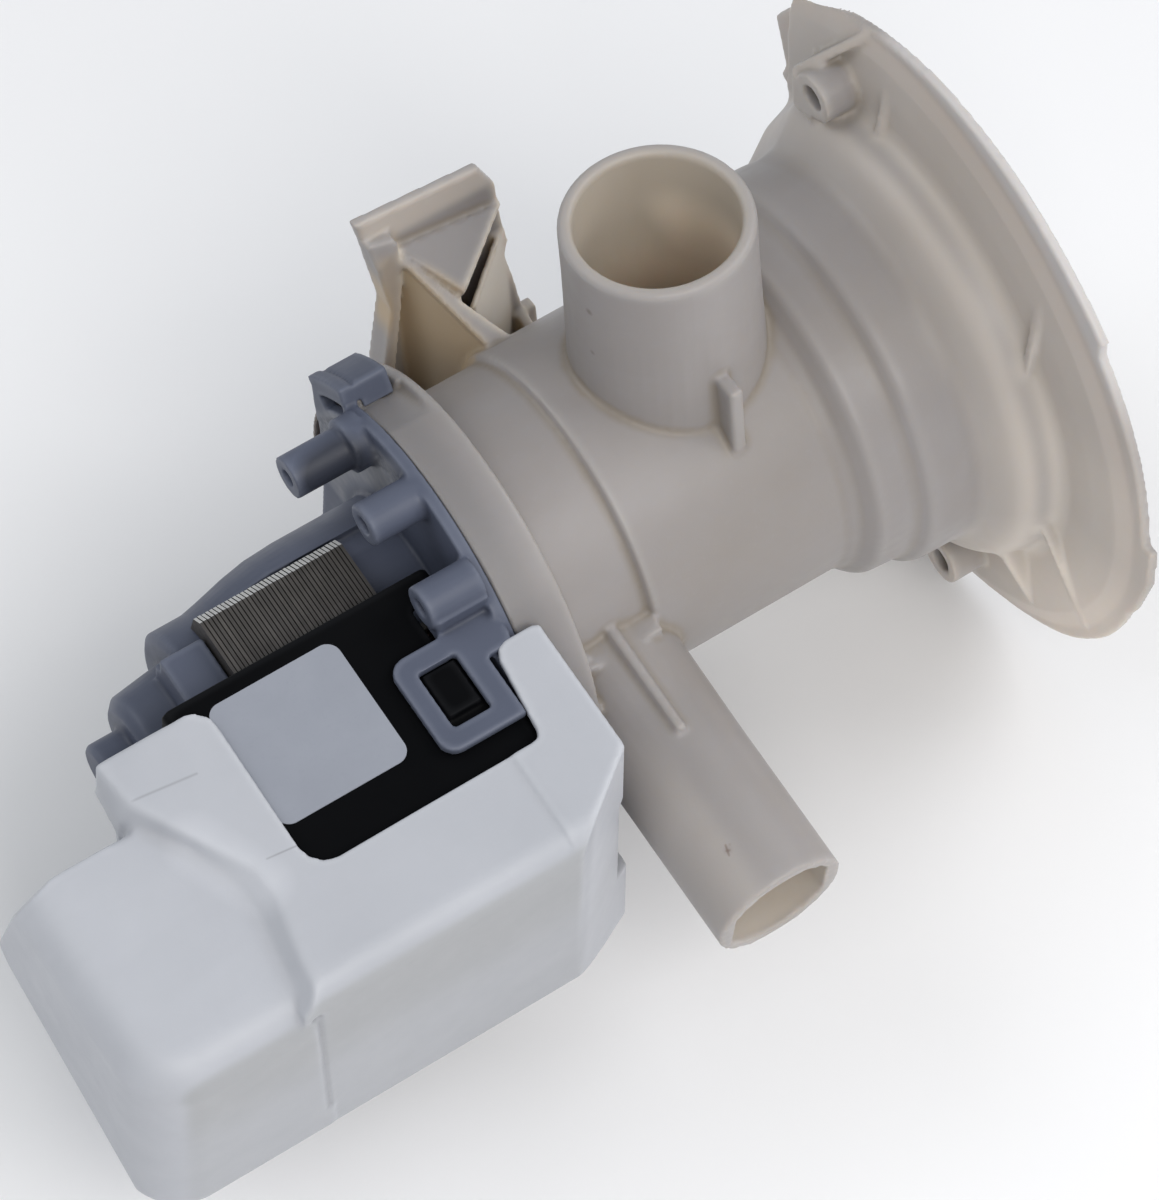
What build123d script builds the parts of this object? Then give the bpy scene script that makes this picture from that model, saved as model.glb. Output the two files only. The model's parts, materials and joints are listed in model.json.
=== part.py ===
from build123d import *
import math
import os

os.makedirs("parts", exist_ok=True)

# ---------------------------------------------------------------- dimensions (mm)
# X runs along the pump axis towards the filter mouth, Z along the inlet spigot.
# The motor and the outlet leave along u, TILT degrees below -Y; v is square to it.
TILT = 12.0                 # outlet / motor direction below -Y, degrees
FACE_X = 46.0               # front face of the flange, pump-axis coordinate
GAP = 0.05                  # assembly clearance between pieces that touch

INLET_R, INLET_BORE, INLET_TOP = 14.25, 12.1, 54.3
OUTLET_R, OUTLET_BORE, OUTLET_FLAT, OUTLET_END, OUTLET_X = 10.35, 8.7, 7.85, 69.0, -27.8
DISC_R, DISC_X0, DISC_X1 = 33.4, -44.0, -35.2      # bayonet disc at the motor end
NECK_R = 25.8                                      # chamber outside
BARREL_R = 26.95                                   # filter barrel outside
FLANGE_R, RIM_T = 56.4, 1.5
FUNNEL_CUT_Y = 31.2         # flat side of the funnel
SCREW_Y, SCREW_Z, SCREW_HOLE_R, SCREW_BOSS_R, SCREW_BOSS_X = 15.4, 40.3, 2.1, 4.1, 36.7
THREAD_BORE, SEAL_BORE, BARREL_BORE, CHAMBER_BORE = 29.5, 27.4, 24.3, 23.4

PLATE_X0 = -46.0            # back of the motor flange plate
CORE_X0, CORE_X1 = -79.6, -55.5                    # sheet stack, 37 sheets of 0.65
CORE_V, LEG_V, CORE_BORE = 18.5, 8.5, 14.8
POLE_U, LEG_U, YOKE_U0, YOKE_U1 = -8.0, 9.5, 40.0, 49.5
CAN_R, CAN_BORE, CAN_BACK_R = 14.4, 11.9, 17.2
MAGNET_R, MAGNET_X0, MAGNET_X1 = 11.0, -81.0, -55.0
SHAFT_R, SHAFT_X0, SHAFT_X1 = 2.0, -92.0, -27.0
IMPELLER_R = 21.0

COVER_V, CAP_V, CAP_VB, CAP_U = 25.2, 26.7, 27.8, 55.5
CAP_RIGHT_V = 27.2          # top of the cap's right arm, a little above the rest
CAP_X0, CAP_X1 = -106.0, -40.9
HOOD_X0, HOOD_V1, HOOD_VB, HOOD_U1 = -125.0, 23.4, 27.6, 56.0

PLUG_LEAD = 12.0            # filter thread lead, mm per turn


# ---------------------------------------------------------------- shape helpers
def box(x0, x1, y0, y1, z0, z1):
    return Pos((x0 + x1) / 2, (y0 + y1) / 2, (z0 + z1) / 2) * Box(x1 - x0, y1 - y0, z1 - z0)


def ubox(x0, x1, u0, u1, v0, v1):
    """box given along the motor direction u (local y is -u)"""
    return box(x0, x1, -u1, -u0, v0, v1)


def xcyl(r, x0, x1, y=0.0, z=0.0):
    return Pos((x0 + x1) / 2, y, z) * Rot(0, 90, 0) * Cylinder(r, x1 - x0)


def zcyl(r, z0, z1, x=0.0, y=0.0):
    return Pos(x, y, (z0 + z1) / 2) * Cylinder(r, z1 - z0)


def ucyl(r, u0, u1, x, v):
    return Pos(x, -(u0 + u1) / 2, v) * Rot(90, 0, 0) * Cylinder(r, u1 - u0)


def turned(pts):
    """solid of revolution about X from (x, r) points"""
    return revolve(make_face(Polyline(*[(x, r) for x, r in pts], close=True)), Axis.X, 360)


def plate_xz(pts, y0, y1):
    f = make_face(Polyline(*[(x, y0, z) for x, z in pts], close=True))
    return extrude(f, amount=y1 - y0, dir=(0, 1, 0))


def plate_xy(pts, z0, z1):
    f = make_face(Polyline(*[(x, y, z0) for x, y in pts], close=True))
    return extrude(f, amount=z1 - z0, dir=(0, 0, 1))


def plate_yz(pts, x0, x1):
    f = make_face(Polyline(*[(x0, y, z) for y, z in pts], close=True))
    return extrude(f, amount=x1 - x0, dir=(1, 0, 0))


def sector(r0, r1, a0, a1, x0, x1):
    """ring sector about X, angles in degrees from +Y towards +Z"""
    ring = xcyl(r1, x0, x1) - xcyl(r0, x0 - 1, x1 + 1)
    n = max(2, int(abs(a1 - a0) // 40) + 2)
    far = 2.2 * r1
    pts = [(0.0, 0.0)]
    for i in range(n):
        a = math.radians(a0 + (a1 - a0) * i / (n - 1))
        pts.append((far * math.cos(a), far * math.sin(a)))
    return ring & plate_yz(pts, x0 - 0.5, x1 + 0.5)


def slab(points, thick):
    """flat panel through the first three 3-D corner points, grown along its normal"""
    p = [Vector(*q) for q in points]
    n = (p[1] - p[0]).cross(p[2] - p[0]).normalized()
    p = [q - n * (q - p[0]).dot(n) for q in p]
    f = make_face(Polyline(*[(q.X, q.Y, q.Z) for q in p], close=True))
    return extrude(f, amount=thick)


def only(shape):
    """the largest solid of a result"""
    return max(shape.solids(), key=lambda s: s.volume)


def rounded(shape, edges, radii):
    """fillet with the first radius that the shape takes"""
    for r in radii:
        try:
            out = fillet(edges, r)
            if out.is_valid and out.volume > 0:
                return out
        except Exception:
            pass
    return shape


HOOKS = (136.5, 256.5)      # bayonet hooks, degrees from u towards v
MOTOR = Rot(TILT, 0, 0)
HOME = Pos(-FACE_X, 0, 0)   # origin: centre of the flange's front face
nodes = {}


# ---------------------------------------------------------------- pump housing
outer = turned([
    (DISC_X0, 0), (DISC_X0, DISC_R), (DISC_X1, DISC_R), (DISC_X1, 26.7), (-34.6, 26.1), (-33.6, NECK_R),
    (-21.3, NECK_R), (-20.9, BARREL_R), (12.4, BARREL_R), (14.5, 27.7), (16.3, 29.5), (17.1, 30.0),
    (21.6, 30.3), (23.0, 30.6), (24.0, 31.8), (24.8, 32.2), (31.6, 32.3), (33.4, 33.0), (34.8, 34.6),
    (36.2, 36.5), (37.6, 37.7), (39.2, 38.4), (40.8, 38.8), (42.0, 39.6), (42.6, 41.0), (42.8, 46.0),
    (43.4, 51.0), (44.65, 54.6), (44.65, 50.0), (FACE_X, 50.0), (FACE_X, 0)])
outer -= box(20, 47, FUNNEL_CUT_Y, 62, -60, 60)
# flattened upper rear quarter of the funnel
flat = extrude(make_face(Polyline((30.6, 32.4, 0), (32.0, 31.5, 0), (34.0, 32.0, 0), (38.0, 35.7, 0), (42.3, 37.2, 0), (42.3, 50.0, 0), (30.6, 50.0, 0),
                                  close=True)), amount=40, both=True)
outer -= Rot(32.4, 0, 0) * flat
# flange plate: its rim swells to a lip on the upper right and has a straight side
lip = [(36.7, 33.8), (33.0, 38.8), (28.0, 43.8), (21.2, 49.4), (13.5, 53.2), (6.4, 55.4), (0.9, 56.4), (-4.4, 56.9),
       (-12.9, 56.2), (-23.8, 53.4), (-32.7, 48.8), (-40.5, 43.1), (-45.4, 38.4)]


def on_rim(r, a):
    return Vector(FACE_X, r * math.cos(math.radians(a)), r * math.sin(math.radians(a)))


e1 = Spline(*[(FACE_X, y, z) for y, z in lip])
notch = on_rim(57.0, 142)
rim = [(57.0, 148), (57.0, 154), (56.9, 160), (56.6, 168), (56.4, 176), (56.3, 186), (56.2, 196), (56.4, 204), (56.6, 212), (56.4, 220), (56.1, 228),
       (55.4, 236), (54.7, 245), (53.8, 254), (53.4, 266), (53.3, 280), (52.6, 295), (51.2, 307)]
e2 = Line(e1 @ 1, notch)
e3 = Spline(notch, *[on_rim(r, a) for r, a in rim], Vector(FACE_X, 36.7, -33.8))
chord = [(FACE_X, 36.7, -33.8), (FACE_X, 34.4, -25.0), (FACE_X, 34.4, 20.4), (FACE_X, 35.9, 21.4), (FACE_X, 34.6, 24.6),
         (FACE_X, 36.7, 33.8)]
e5 = Polyline(*chord)
flange = extrude(make_face(Wire([e1, e2, e3] + list(e5.edges()))), amount=RIM_T, dir=(-1, 0, 0))
outer += only(flange)
tab = [on_rim(r, a) for r, a in ((54.0, 178), (58.2, 178), (58.1, 186), (57.3, 191), (56.9, 196), (56.0, 202), (54.0, 202))]
outer += plate_yz([(q.Y, q.Z) for q in tab], FACE_X - RIM_T, FACE_X)
# front recess of the flange
outer -= turned([(45.0, 40.5), (45.0, 53.6), (47, 54.4), (47, 39.6)]) - box(40, 48, 33.6, 62, -60, 60)

# screw bosses with their side block and webs
for s in (1, -1):
    outer += xcyl(SCREW_BOSS_R, SCREW_BOSS_X, 45.0, s * SCREW_Y, s * SCREW_Z)
outer += box(SCREW_BOSS_X, 44.0, 15.4, 20.7, 34.2, 41.4)
outer += box(38.6, 44.0, 20.0, 23.2, 34.2, 39.4)
outer += slab([(37.0, 20.2, 40.6), (45.0, 20.2, 40.6), (45.0, 10.8, 52.6), (44.2, 10.8, 52.6)], 1.5)
# ribs on the flange's rear, most of them upright
for y, x0, z0, x1, z1 in ((5.2, 40.6, 36.5, 44.2, 53.2), (-32.2, 40.4, 20.5, 43.6, 39.4), (-29.9, 36.4, -19.4, 43.4, -40.8),
                          (-5.2, 40.6, -36.5, 44.2, -53.2), (12.0, 40.6, -35.0, 44.2, -51.0)):
    outer += plate_xz([(x0, z0), (45.0, z0), (45.0, z1), (x1, z1)], y - 0.75, y + 0.75)
outer += slab([(39.8, -36.6, -9.8), (45.0, -36.6, -9.8), (45.0, -42.3, -32.8), (44.0, -42.3, -32.8)], 1.3)

# inlet spigot with its gusset fin
outer += zcyl(INLET_R, 12, INLET_TOP)
root = Polyline((0, 0, 12.0), (INLET_R + 0.5, 0, 12.0), (INLET_R + 0.45, 0, 20.0), (INLET_R, 0, 44.0), (0, 0, 44.0), close=True)
outer += revolve(make_face(root), Axis.Z, 360)
outer += box(-1.0, 1.1, -18.7, -12.0, 14.0, 33.4)

# rear bracket: back panel, sloping top, side walls and the two hopper webs
back = [(-29.8, 38.0), (-8.4, 36.2), (-5.9, 30.8), (-5.6, 22.7), (-4.8, 16.8), (-5.8, 14.4), (-4.6, 7.8),
        (-3.8, 1.2), (-3.4, -9.0), (-30.4, -9.0), (-29.8, 6.4), (-27.1, 19.3), (-28.4, 28.7), (-28.9, 33.0)]
outer += plate_xz(back, 36.2, 38.0)
left = [(-29.8, -9.0), (-29.8, 6.4), (-27.1, 19.3), (-28.2, 27.7), (-28.9, 34.0), (-24.6, 34.0), (-24.3, 28.3),
        (-25.2, 19.3), (-27.6, 6.4), (-27.6, -9.0)]
outer += plate_xz(left, 33.4, 38.0)
# long chamfer under the panel's top edge, running out over the left wall
outer -= slab([(-34.6, 38.06, 38.3), (-33.9, 36.2, 33.2), (-33.2, 33.2, 24.6), (-23.2, 33.2, 22.9), (-23.0, 36.1, 31.2), (-2.0, 36.1, 27.7),
               (-3.0, 38.06, 36.0)], 5.0)
# sloping gusset face between the two webs
pa, pb, pc = (-24.4, 36.3, 28.3), (-5.8, 36.3, 25.8), (-18.4, 27.0, 22.8)
pd, pe = (-15.0, 20.8, 17.6), (-18.9, 21.0, 17.4)
outer += slab([pa, pb, pc], 1.9)
outer += slab([(-25.1, 37.0, 29.0), pd, pe], 1.6)
outer += slab([(-25.4, 37.9, 29.3), pe, (pe[0], pe[1], -9.0), (-25.4, 37.9, -9.0)], 1.7)
outer += slab([(-6.5, 36.6, 20.4), (-17.5, 27.2, 19.5), (-17.5, 27.2, -9.0), (-6.5, 36.6, -9.0)], 0.9)
outer += plate_yz([(20.0, -2.0), (30.0, -2.0), (37.6, 1.0), (37.6, -9.0), (20.0, -9.0)], -5.4, -3.6)
outer += box(-5.2, -1.6, 35.6, 38.0, -9.0, -0.4)
outer += box(-30.4, -2.6, 20.0, 38.0, -10.6, -8.8)
outer -= box(-40.0, 0.0, 38.0, 44.0, -14.0, 44.0)

# outlet spigot, root block and ribs (motor direction)
outlet = ucyl(OUTLET_R, 15, OUTLET_END, OUTLET_X, 0)
draft = Polyline((OUTLET_X, -43.2, 0), (OUTLET_X + OUTLET_R, -43.2, 0), (OUTLET_X + OUTLET_R + 0.45, -15, 0), (OUTLET_X, -15, 0), close=True)
outlet += revolve(make_face(draft), Axis((OUTLET_X, 0, 0), (0, 1, 0)), 360)
outlet += ubox(-37.0, -21.0, 12.0, 27.2, -10.2, 10.2)
outlet += ubox(-28.6, -27.1, 19.0, 42.3, 5.0, 11.5)
outlet += ubox(-34.6, -33.2, 18.0, 25.6, 4.0, 10.9)
outer += MOTOR * outlet

# hollow inside: chamber, partition, barrel, seal bore, thread bore, mouth
hollow = turned([(-45, 0), (-45, CHAMBER_BORE), (-21.0, CHAMBER_BORE), (-21.0, 12.5), (-18.6, 12.5),
                 (-18.6, BARREL_BORE), (13.4, BARREL_BORE), (15.6, SEAL_BORE), (23.4, SEAL_BORE),
                 (24.4, THREAD_BORE), (33.2, THREAD_BORE), (35.4, 31.4), (37.6, 34.0), (39.6, 35.4),
                 (47, 37.0), (47, 0)])
outer -= hollow - box(20, 50, FUNNEL_CUT_Y - 1.6, 60, -60, 60)
# recess for the motor flange's spigot and its ring seal
outer -= turned([(-45, 25.7), (-45, 31.0), (-36.6, 31.0), (-36.6, 25.7)])
# straight run-out on the side away from the motor's arm
outer -= MOTOR * (ubox(-45, -40.6, -40, -27.6, -40, 23.0) - xcyl(31.6, -45, -40))
# bayonet entries and lip slots in the disc, one pair by each hook
for a in HOOKS:
    t0, t1 = math.radians(180 - a + 8.4), math.radians(180 - a + 27.0)
    ramp = [(r * math.cos(t), r * math.sin(t)) for r, t in ((31.9, t0), (DISC_R + 0.1, t1), (40.0, t1), (40.0, t0))]
    outer -= MOTOR * plate_yz(ramp, -45, -36.6)
    outer -= MOTOR * sector(31.9, 36, 180 - a - 12.0, 180 - a + 10, -40.2, -37.4)
outer -= zcyl(INLET_BORE, 10, 60)
outer -= MOTOR * (ucyl(OUTLET_BORE, 12, 72, OUTLET_X, 0)
                  & ubox(OUTLET_X - OUTLET_FLAT, OUTLET_X + OUTLET_FLAT, 10, 72, -12, 12))
for s in (1, -1):
    outer += xcyl(SCREW_BOSS_R, 44.0, FACE_X, s * SCREW_Y, s * SCREW_Z)
    outer -= xcyl(SCREW_HOLE_R, 34, 48, s * SCREW_Y, s * SCREW_Z)
housing = only(outer)
rims = [e for e in housing.edges().filter_by(GeomType.CIRCLE)
        if abs(e.arc_center.Z - INLET_TOP) < 0.01 and abs(e.arc_center.X) < 0.01]
housing = rounded(housing, rims, (0.9, 0.7, 0.5))
nodes["pump_housing"] = housing


# ---------------------------------------------------------------- motor bracket (grey)
# flange disc with one straight side, bayonet hooks, posts, rotor can, arm and latch frame
br = xcyl(DISC_R, PLATE_X0, DISC_X0 - GAP)
br += sector(30.5, 36.4, 180 - HOOKS[0] - 14.0, 180 - HOOKS[0] + 9.5, PLATE_X0, DISC_X0 - GAP)
edge = [(-29.8, 40.0), (-29.8, 22.0), (-28.4, 15.0), (-26.6, 8.0), (-25.4, 0.0), (-25.4, -16.0), (-28.0, -24.0), (-28.0, -40.0),
        (-60.0, -40.0), (-60.0, 40.0)]
br -= plate_yz([(-u, v) for u, v in edge], -50, -40)
br += turned([(-45, 26.1), (-45, 28.3), (-37.4, 28.3), (-37.0, 27.9), (-37.0, 26.1)])
# a hook's angle is measured from u towards v; in local y it is mirrored
for a in HOOKS:
    b0, b1 = 180 - a - 9.5, 180 - a + 9.5
    br += sector(30.5, 36.6, b0, b1, PLATE_X0, DISC_X0 - GAP)
    br += sector(33.7, 36.2, b0, b1, PLATE_X0, -43.0)
    br += sector(33.7, 36.5, b0 + 1.5, b1, -43.2, -38.0)
    br += sector(32.1, 35.9, b0 + 1.5, b1, -39.7, -38.0)
    br += sector(32.1, 35.9, b1 - 0.9, b1, -43.2, -38.0)
br -= sector(31.2, 33.5, 180 - HOOKS[0] - 7.0, 180 - HOOKS[0] + 7.6, -47, -43)
# rotor can: thick on the open side of the core, slim between the poles
can_thin = turned([(-45, 0), (-45, CAN_R), (-83.6, CAN_R), (-84.4, 13.2), (-84.4, 10.0), (-92.8, 8.9),
                   (-94.2, 7.4), (-94.4, 4.6), (-99.4, 4.6), (-100.0, 4.0), (-100.0, 0)])
can_back = turned([(-45, 0), (-45, CAN_BACK_R), (-61, CAN_BACK_R), (-66, 16.9), (-70, 16.2), (-75.5, 14.9),
                   (-82.8, 13.4), (-84.4, 11.8), (-84.4, 0)]) & ubox(-90, -40, -20, -8.4, -20, 20)
br += can_thin + can_back
# bridges in front of and behind the core, between the poles
br += ubox(-55.3, -45, -8.4, 12.0, -13.6, 13.6)
br += ubox(-87.0, -79.8, -5.8, 8.2, -12.4, 12.4)
br += ubox(-87.0, -79.8, -4.6, 6.0, -16.0, 16.0)
# posts
POSTS = ((-15.8, 25.0, -58.4), (-1.6, 30.1, -54.7), (13.4, 29.6, -54.7))
for u, v, xe in POSTS:
    br += xcyl(3.35, xe, -45.5, -u, v)
br += xcyl(4.3, -49.0, -45.5, 15.8, 25.0)
br += ubox(-54.0, -45.5, 11.6, 17.2, 24.3, 30.2)
br += ubox(-48.4, -45.0, 12.0, 22.0, 14.0, 26.8)
# side arm and latch frame that reach over the coil cover
br += ubox(-48.6, -44.6, 14.0, 41.0, -22.0, 25.3)
br += ubox(-53.2, -45.4, 15.6, 23.6, 25.35, 27.0)
frame = ubox(-62.9, -49.75, 17.5, 33.8, 25.35, 27.0)
corner = frame.edges().filter_by(Axis.Z).sort_by(Axis.X)[:2]
frame = rounded(frame, corner, (2.6, 2.0))
br += frame
br -= ubox(-59.8, -53.5, 20.8, 30.4, 24.5, 28)
# inside of the can, bearing seats, holes in the posts
br -= turned([(-40, 0), (-40, CAN_BORE), (-83.0, CAN_BORE), (-83.0, 6.6), (-92.6, 6.6), (-92.6, 0)])
for u, v, xe in POSTS:
    br -= xcyl(1.35, xe - 1, xe + 7.0, -u, v)
bracket = only(br)
nodes["motor_bracket"] = MOTOR * bracket

# ring seal between flange and housing
seal = Pos(-38.4, 0, 0) * Rot(0, 90, 0) * Torus(29.65, 1.25)
nodes["chamber_seal"] = seal

# ---------------------------------------------------------------- stator core
core_pts = [(-POLE_U, 0.0), (-POLE_U, CORE_V - 1.8), (-POLE_U - 1.8, CORE_V), (-YOKE_U1 + 2.0, CORE_V),
            (-YOKE_U1, CORE_V - 2.0), (-YOKE_U1, -CORE_V + 2.0), (-YOKE_U1 + 2.0, -CORE_V),
            (-POLE_U - 1.8, -CORE_V), (-POLE_U, -CORE_V + 1.8)]
core = plate_yz(core_pts, CORE_X0, CORE_X1)
core -= ubox(-90, -50, LEG_U, YOKE_U0, -LEG_V, LEG_V)
core -= xcyl(CORE_BORE, -90, -50)
core -= ubox(-90, -50, -20, LEG_U + 1, -3.6, 3.6)
core -= ubox(-90, -50, 12.2, LEG_U - 0.2 + 4, -LEG_V, LEG_V)
core = only(core)
nodes["stator_core"] = MOTOR * core

# ---------------------------------------------------------------- bobbins and windings
def bobbin(sign):
    v0, v1 = LEG_V, CORE_V
    g, w = 0.1, 0.9
    b = ubox(CORE_X0 - g - w, CORE_X1 + g + w, 13.2, 39.4, v0 - g - w, v1 + g + w)
    for u0 in (13.2, 38.3):
        b += ubox(CORE_X0 - 5.6, CORE_X1 + 5.0, u0, u0 + 1.1, 2.6, 24.0)
    b -= ubox(CORE_X0 - g, CORE_X1 + g, 10, 42, v0 - g, v1 + g)
    b -= xcyl(CORE_BORE + 0.2, -100, -40)
    if sign < 0:
        b = mirror(b, about=Plane.XY)
    return only(b)


def winding(sign):
    g = 1.05
    w = ubox(CORE_X0 - 5.0, CORE_X1 + 4.4, 14.5, 38.1, 3.0, 23.6)
    w = rounded(w, w.edges().filter_by(Axis.Y), (3.0, 2.0))
    w -= ubox(CORE_X0 - g, CORE_X1 + g, 10, 42, LEG_V - g, CORE_V + g)
    if sign < 0:
        w = mirror(w, about=Plane.XY)
    return only(w)


nodes["upper_bobbin"] = MOTOR * bobbin(1)
nodes["lower_bobbin"] = MOTOR * bobbin(-1)
nodes["upper_winding"] = MOTOR * winding(1)
nodes["lower_winding"] = MOTOR * winding(-1)

# ---------------------------------------------------------------- coil cover (black)
# slanted corner between the terminal cover's far wall and right wall, a little twisted


def beyond_corner(inset):
    low = [(-61.0, -60.2 + inset), (-33.0, -46.4 + inset), (-33.0, -75.0), (-61.0, -75.0)]
    high = [(-61.0, -60.4 + inset), (-33.0, -39.0 + inset), (-33.0, -75.0), (-61.0, -75.0)]
    return loft([make_face(Polyline(*[(x, y, v) for x, y in q], close=True)) for q, v in ((low, -30.0), (high, 30.0))], ruled=True)


cc = ubox(-93.2, -49.1, 6.3, 51.0, -COVER_V, COVER_V)
cc = rounded(cc, cc.edges().filter_by(Axis.Y), (1.6, 1.0))
cc -= ubox(-91.9, -50.4, 7.8, 52.0, -24.05, 24.05)
cc -= ubox(CORE_X0 - 0.25, CORE_X1 + 0.25, 5, 8, -CORE_V - 0.2, CORE_V + 0.2)
cc -= ubox(-88.0, -50.0, 5, 8.4, -16.4, 16.4)
cc -= ubox(-60, -45, 5, 12.6, -14.2, 14.2)
cc -= ubox(-54.6, -45, 11.2, 17.6, 21.0, 30.0)
cc -= xcyl(CORE_BORE + 0.2, -100, -40)
# catch that snaps into the latch frame, and the terminal block
cc += ubox(-59.4, -53.9, 21.2, 28.6, 25.0, 26.3)
cc += ubox(-120.2, -91.5, 43.4, 51.0, -9.0, 9.0)
cc = only(cc - beyond_corner(2.3))
for x in (-117.0, -108.4):
    cc -= ubox(x - 0.45, x + 0.45, 42, 50.0, -3.25, 3.25)
nodes["coil_cover"] = MOTOR * only(cc)

# bare sticker
lab = ubox(-87.9, -66.6, 9.2, 30.4, COVER_V + 0.01, COVER_V + 0.17)
lab = rounded(lab, lab.edges().filter_by(Axis.Z), (2.2, 1.5))
nodes["label"] = MOTOR * only(lab)

# ---------------------------------------------------------------- terminals
for name, x in (("live_terminal", -117.0), ("neutral_terminal", -108.4)):
    t = ubox(x - 0.4, x + 0.4, 31.0, 49.8, -3.15, 3.15)
    t -= xcyl(0.8, x - 2, x + 2, -34.6, 0)
    nodes[name] = MOTOR * only(t)

# ---------------------------------------------------------------- terminal cover (white)
# top view outline: left arm, mouth, right arm
arm = [(-105.6, -8.4), (-91.6, -8.4), (-89.4, -9.2), (-88.0, -10.7), (-87.6, -12.8), (-87.8, -34.2), (-87.2, -36.2), (-85.9, -37.6),
       (-84.0, -38.2), (-51.6, -38.1), (-50.5, -37.8), (-50.1, -36.8), (-48.7, -25.0), (-48.0, -23.5), (-46.6, -22.8),
       (-42.0, -22.8), (-40.8, -23.4), (CAP_X1, -24.6), (CAP_X1, -60.0)]
top_edge = [(-96.9, -60.0), (-96.4, -50.0), (-93.9, -38.2), (-94.4, -33.8), (-99.3, -26.0), (-104.5, -16.0)]
foot_edge = [(-100.4, -60.0), (-99.6, -50.0), (-98.3, -38.0), (-98.3, -33.1), (-100.2, -25.0), (-106.3, -16.4)]


def outline(left_side, v):
    return make_face(Polyline(*[(x, y, v) for x, y in arm + left_side], close=True))


cap = loft([outline(foot_edge, 22.6), outline(top_edge, CAP_V)], ruled=True)
cap += extrude(outline(foot_edge, -CAP_VB), amount=CAP_VB + 22.6, dir=(0, 0, 1))
cap -= box(-110, -35, -70, -CAP_U, -40, 40)
ridge = [e for e in cap.edges().filter_by(Axis.X) if e.center().Y < -CAP_U + 0.1 and abs(e.center().Z) > 20]
cap = rounded(cap, ridge, (4.6, 4.0, 3.0))
# right arm with its raised top
right = extrude(outline(top_edge, 15.0), amount=CAP_RIGHT_V - 15.0, dir=(0, 0, 1)) & box(-55.2, -30, -CAP_U, 0, 0, 40)
right = rounded(right, [e for e in right.edges().filter_by(Axis.X) if e.center().Y < -CAP_U + 0.1 and e.center().Z > 20], (4.8, 4.0))
cap += right
cap += box(CAP_X1 - 2.0, -39.5, -60.0, -30.0, -CAP_VB, -12.0)
cap -= box(-110, -35, -70, -CAP_U, -40, 40)
cap -= beyond_corner(0.0)


# connector hood: soft box whose rear end is slanted
def hood_part(t, u0):
    """rounded hood, shrunk by the wall t on every closed side"""
    x0, x1, v0, v1, u1 = HOOD_X0 + t, -90.0, -HOOD_VB + t, HOOD_V1 - t, HOOD_U1 - t
    h = box(x0, x1, -u1, 5.0, v0, v1)
    h = rounded(h, [e for e in h.edges().filter_by(Axis.Z) if e.center().X < -100 and e.center().Y < -40], (9.5 - t,))
    low = [e for e in h.edges() if e.center().Z < v0 + 0.1 and (e.center().X < -100 or e.center().Y < -40) and e.center().Y < 4.9]
    h = rounded(h, low, (5.8 - t, 5.0 - t))
    top = [e for e in h.edges() if e.center().Z > v1 - 0.1 and (e.center().X < -100 or e.center().Y < -40) and e.center().Y < 4.9]
    h = rounded(h, top, (6.5 - t, 5.0 - t))
    h &= plate_yz([(-u0 - 19.0, v1 + 1), (-u0 - 12.0, -8.0), (-u0 - 12.0, v0 - 1), (-u1 - 1, v0 - 1), (-u1 - 1, v1 + 1)], x0 - 1, x1 + 1)
    seam = [(-94.0, v1 + 1), (-94.0, v0 - 1)] if t else [(-96.9, v1 + 1), (-96.9, 20.2), (-98.0, 18.8), (-94.6, -20.0), (-94.6, v0 - 1)]
    return h & plate_xz([(x0 - 1, v1 + 1)] + seam + [(x0 - 1, v0 - 1)], -u1 - 2, 6.0)


HOOD_FACETS = (((-126.724, -29.845, -0.417), (-0.9869, 0.0563, -0.1509)),
               ((-128.13, -15.536, 4.638), (-0.2624, 0.9189, 0.2946)),
               ((-131.159, -19.114, 2.763), (-0.5375, 0.8173, 0.2075)),
               ((-127.773, -29.429, -0.448), (-0.982, 0.1487, -0.1165)))


def trimmed(shape, inset):
    """drafted outer side and blunt rear corner of the hood"""
    for origin, out in HOOD_FACETS:
        shape -= Plane(origin=origin, z_dir=out).location * Pos(0, 0, 20 - inset) * Box(160, 160, 40)
    return shape


cap += trimmed(hood_part(0.0, 0.0), 0.0)
# hollow: coil side, left arm, hood
cap -= ubox(-93.3, -44.2, 5.0, 53.6, -25.45, 25.45) - beyond_corner(2.1)
cap -= plate_xy([(-103.9, 0), (-103.9, -15.2), (-98.2, -25.2), (-96.0, -32.6), (-95.8, -38.0), (-96.8, -50.0), (-96.8, -53.6),
                 (-91.0, -53.6), (-91.0, 0)], -25.5, 24.0)
cap -= trimmed(hood_part(1.9, 2.0), 1.7)
# arms are open between their upper and lower plates
cap -= ubox(-112, -90, 5.0, 15.0, -17.0, 17.0)
cap -= ubox(CAP_X1 - 1.1, -39, 20.0, 60.0, -12.0, 11.0)
# room for the round motor flange
cap -= xcyl(DISC_R + 0.5, -46.6, -30)
cap -= sector(30, 37.6, 180 - HOOKS[1] - 14, 180 - HOOKS[1] + 14, -47, -30)
# connector opening in the hood's mouth side
cap -= ubox(-119.6, -107.0, 12.0, 24.0, -14.0, 12.0)
nodes["terminal_cover"] = MOTOR * only(cap)

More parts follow.
